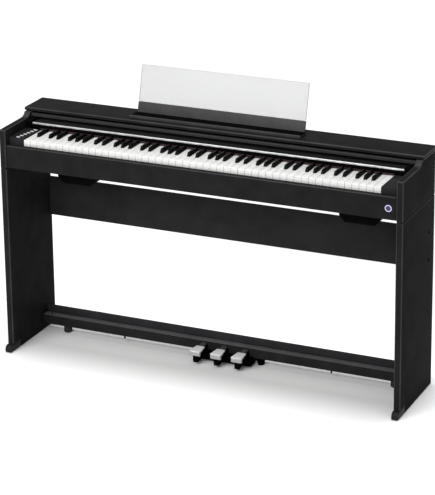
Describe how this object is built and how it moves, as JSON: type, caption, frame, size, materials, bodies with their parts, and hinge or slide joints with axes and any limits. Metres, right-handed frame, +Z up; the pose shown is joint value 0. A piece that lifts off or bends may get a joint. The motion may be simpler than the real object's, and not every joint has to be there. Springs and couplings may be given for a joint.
{
  "type": "digital piano on stand",
  "caption": "Slim upright digital piano on a black panel stand, with sliding key cover, clear music rest and three pedals",
  "frame": {"origin": "middle of the footprint on the floor, from the front feet to the back of the lid and between the lid's ends", "axes": "+X to the player's right, +Y away from the player, +Z up"},
  "size_m": [1.391, 0.317, 0.9568],
  "materials": {
    "laminate": "satin black foil-wrapped board, rounded edges, faint pore texture",
    "black_plastic": "fine-grained moulded ABS, satin black",
    "grey_plastic": "dark grey moulded ABS, satin",
    "rest_panel": "clear polished acrylic sheet",
    "trim_metal": "brushed bright aluminium strip",
    "pedal_plate": "plated steel, lightly brushed on top",
    "pivot_steel": "plain ground rod",
    "foot_rubber": "moulded rubber",
    "particle_board": "raw particle board, sealed dark",
    "button_grey": "pale grey moulded caps",
    "felt": "dark red wool felt strip",
    "circuit_board": "green solder mask",
    "speaker_cone": "pressed paper cone in a black basket",
    "key_white": "white moulded key, soft gloss",
    "key_black": "matt black moulded key"
  },
  "bodies": {
    "case": {"arm_left": "laminate", "arm_right": "laminate", "back_panel": "laminate", "beam_board": "laminate", "beam_foot_left": "foot_rubber", "beam_foot_right": "foot_rubber", "bottom_board": "particle_board", "cheek_left": "black_plastic", "cheek_right": "black_plastic", "dc_inlet": "black_plastic", "fascia_band": "grey_plastic", "front_foot_left": "black_plastic", "front_foot_right": "black_plastic", "front_rail": "laminate", "key_felt": "felt", "key_frame": "black_plastic", "main_board": "circuit_board", "name_rail": "black_plastic", "page_ledge": "black_plastic", "pedal_beam": "laminate", "pedal_rod": "pivot_steel", "rear_cover": "black_plastic", "side_panel_left": "laminate", "side_panel_right": "laminate", "speaker_box_left": "black_plastic", "speaker_box_right": "black_plastic", "speaker_left": "speaker_cone", "speaker_right": "speaker_cone", "top_lid": "laminate"},
    "bass_white_keys": {"white_keys_bass": "key_white"},
    "treble_white_keys": {"white_keys_treble": "key_white"},
    "bass_black_keys": {"black_keys_bass": "key_black"},
    "treble_black_keys": {"black_keys_treble": "key_black"},
    "key_c": {"white_key_c": "key_white"},
    "key_d": {"white_key_d": "key_white"},
    "key_e": {"white_key_e": "key_white"},
    "key_f": {"white_key_f": "key_white"},
    "key_g": {"white_key_g": "key_white"},
    "key_a": {"white_key_a": "key_white"},
    "key_b": {"white_key_b": "key_white"},
    "key_c_sharp": {"black_key_c_sharp": "key_black"},
    "key_d_sharp": {"black_key_d_sharp": "key_black"},
    "key_f_sharp": {"black_key_f_sharp": "key_black"},
    "key_g_sharp": {"black_key_g_sharp": "key_black"},
    "key_a_sharp": {"black_key_a_sharp": "key_black"},
    "pedal_left_lever": {"pedal_left": "pedal_plate"},
    "pedal_middle_lever": {"pedal_middle": "pedal_plate"},
    "pedal_right_lever": {"pedal_right": "pedal_plate"},
    "mode_button_1_cap": {"mode_button_1": "button_grey"},
    "mode_button_2_cap": {"mode_button_2": "button_grey"},
    "mode_button_3_cap": {"mode_button_3": "button_grey"},
    "mode_button_4_cap": {"mode_button_4": "button_grey"},
    "mode_button_5_cap": {"mode_button_5": "button_grey"},
    "mode_button_6_cap": {"mode_button_6": "button_grey"},
    "power_button_cap": {"power_button": "black_plastic"},
    "cover": {"key_cover": "black_plastic", "cover_trim": "trim_metal"},
    "music_rest": {"music_base": "grey_plastic", "music_panel": "rest_panel"},
    "adjuster": {"floor_adjuster": "black_plastic"}
  },
  "joints": [
    {"name": "bass_white_keys_press", "type": "hinge", "parent": "case", "child": "bass_white_keys", "pos_m": [-0.3422, 0.0655, 0.729], "axis": [1, 0, 0], "range_deg": [0, 3.1], "stiffness_Nm_per_rad": 13.8, "springref_deg": -17.19},
    {"name": "treble_white_keys_press", "type": "hinge", "parent": "case", "child": "treble_white_keys", "pos_m": [0.354, 0.0655, 0.729], "axis": [1, 0, 0], "range_deg": [0, 3.1], "stiffness_Nm_per_rad": 13.2, "springref_deg": -17.19},
    {"name": "bass_black_keys_press", "type": "hinge", "parent": "case", "child": "bass_black_keys", "pos_m": [-0.3422, 0.0655, 0.729], "axis": [1, 0, 0], "range_deg": [0, 4], "stiffness_Nm_per_rad": 6.4, "springref_deg": -14.32},
    {"name": "treble_black_keys_press", "type": "hinge", "parent": "case", "child": "treble_black_keys", "pos_m": [0.354, 0.0655, 0.729], "axis": [1, 0, 0], "range_deg": [0, 4], "stiffness_Nm_per_rad": 6, "springref_deg": -14.32},
    {"name": "key_c_press", "type": "hinge", "parent": "case", "child": "key_c", "pos_m": [-0.059, 0.0655, 0.729], "axis": [1, 0, 0], "range_deg": [0, 3.1], "stiffness_Nm_per_rad": 0.6, "springref_deg": -17.19},
    {"name": "key_d_press", "type": "hinge", "parent": "case", "child": "key_d", "pos_m": [-0.0354, 0.0655, 0.729], "axis": [1, 0, 0], "range_deg": [0, 3.1], "stiffness_Nm_per_rad": 0.6, "springref_deg": -17.19},
    {"name": "key_e_press", "type": "hinge", "parent": "case", "child": "key_e", "pos_m": [-0.0118, 0.0655, 0.729], "axis": [1, 0, 0], "range_deg": [0, 3.1], "stiffness_Nm_per_rad": 0.6, "springref_deg": -17.19},
    {"name": "key_f_press", "type": "hinge", "parent": "case", "child": "key_f", "pos_m": [0.0118, 0.0655, 0.729], "axis": [1, 0, 0], "range_deg": [0, 3.1], "stiffness_Nm_per_rad": 0.6, "springref_deg": -17.19},
    {"name": "key_g_press", "type": "hinge", "parent": "case", "child": "key_g", "pos_m": [0.0354, 0.0655, 0.729], "axis": [1, 0, 0], "range_deg": [0, 3.1], "stiffness_Nm_per_rad": 0.6, "springref_deg": -17.19},
    {"name": "key_a_press", "type": "hinge", "parent": "case", "child": "key_a", "pos_m": [0.059, 0.0655, 0.729], "axis": [1, 0, 0], "range_deg": [0, 3.1], "stiffness_Nm_per_rad": 0.6, "springref_deg": -17.19},
    {"name": "key_b_press", "type": "hinge", "parent": "case", "child": "key_b", "pos_m": [0.0826, 0.0655, 0.729], "axis": [1, 0, 0], "range_deg": [0, 3.1], "stiffness_Nm_per_rad": 0.6, "springref_deg": -17.19},
    {"name": "key_c_sharp_press", "type": "hinge", "parent": "case", "child": "key_c_sharp", "pos_m": [-0.0497, 0.0655, 0.729], "axis": [1, 0, 0], "range_deg": [0, 4], "stiffness_Nm_per_rad": 0.4, "springref_deg": -14.32},
    {"name": "key_d_sharp_press", "type": "hinge", "parent": "case", "child": "key_d_sharp", "pos_m": [-0.0211, 0.0655, 0.729], "axis": [1, 0, 0], "range_deg": [0, 4], "stiffness_Nm_per_rad": 0.4, "springref_deg": -14.32},
    {"name": "key_f_sharp_press", "type": "hinge", "parent": "case", "child": "key_f_sharp", "pos_m": [0.0208, 0.0655, 0.729], "axis": [1, 0, 0], "range_deg": [0, 4], "stiffness_Nm_per_rad": 0.4, "springref_deg": -14.32},
    {"name": "key_g_sharp_press", "type": "hinge", "parent": "case", "child": "key_g_sharp", "pos_m": [0.0472, 0.0655, 0.729], "axis": [1, 0, 0], "range_deg": [0, 4], "stiffness_Nm_per_rad": 0.4, "springref_deg": -14.32},
    {"name": "key_a_sharp_press", "type": "hinge", "parent": "case", "child": "key_a_sharp", "pos_m": [0.0733, 0.0655, 0.729], "axis": [1, 0, 0], "range_deg": [0, 4], "stiffness_Nm_per_rad": 0.4, "springref_deg": -14.32},
    {"name": "pedal_left_press", "type": "hinge", "parent": "case", "child": "pedal_left_lever", "pos_m": [-0.066, 0.0855, 0.045], "axis": [1, 0, 0], "range_deg": [0, 5], "stiffness_Nm_per_rad": 10, "springref_deg": -6.88},
    {"name": "pedal_middle_press", "type": "hinge", "parent": "case", "child": "pedal_middle_lever", "pos_m": [0.008, 0.0855, 0.045], "axis": [1, 0, 0], "range_deg": [0, 5], "stiffness_Nm_per_rad": 10, "springref_deg": -6.88},
    {"name": "pedal_right_press", "type": "hinge", "parent": "case", "child": "pedal_right_lever", "pos_m": [0.082, 0.0855, 0.045], "axis": [1, 0, 0], "range_deg": [0, 5], "stiffness_Nm_per_rad": 10, "springref_deg": -6.88},
    {"name": "mode_button_1_push", "type": "slide", "parent": "case", "child": "mode_button_1_cap", "axis": [0, 0, -1], "range_m": [0, 0.0012], "stiffness_N_per_m": 500, "springref_m": -0.001},
    {"name": "mode_button_2_push", "type": "slide", "parent": "case", "child": "mode_button_2_cap", "axis": [0, 0, -1], "range_m": [0, 0.0012], "stiffness_N_per_m": 500, "springref_m": -0.001},
    {"name": "mode_button_3_push", "type": "slide", "parent": "case", "child": "mode_button_3_cap", "axis": [0, 0, -1], "range_m": [0, 0.0012], "stiffness_N_per_m": 500, "springref_m": -0.001},
    {"name": "mode_button_4_push", "type": "slide", "parent": "case", "child": "mode_button_4_cap", "axis": [0, 0, -1], "range_m": [0, 0.0012], "stiffness_N_per_m": 500, "springref_m": -0.001},
    {"name": "mode_button_5_push", "type": "slide", "parent": "case", "child": "mode_button_5_cap", "axis": [0, 0, -1], "range_m": [0, 0.0012], "stiffness_N_per_m": 500, "springref_m": -0.001},
    {"name": "mode_button_6_push", "type": "slide", "parent": "case", "child": "mode_button_6_cap", "axis": [0, 0, -1], "range_m": [0, 0.0012], "stiffness_N_per_m": 500, "springref_m": -0.001},
    {"name": "power_button_push", "type": "slide", "parent": "case", "child": "power_button_cap", "axis": [0, 1, 0], "range_m": [0, 0.002], "stiffness_N_per_m": 600, "springref_m": -0.001},
    {"name": "cover_slide", "type": "slide", "parent": "case", "child": "cover", "axis": [0, -1, 0], "range_m": [0, 0.112]},
    {"name": "music_rest_lift", "type": "slide", "parent": "case", "child": "music_rest", "axis": [0, 0.2554, 0.9668], "range_m": [0, 0.03]},
    {"name": "adjuster_screw", "type": "slide", "parent": "case", "child": "adjuster", "axis": [0, 0, 1], "range_m": [0, 0.006]}
  ]
}
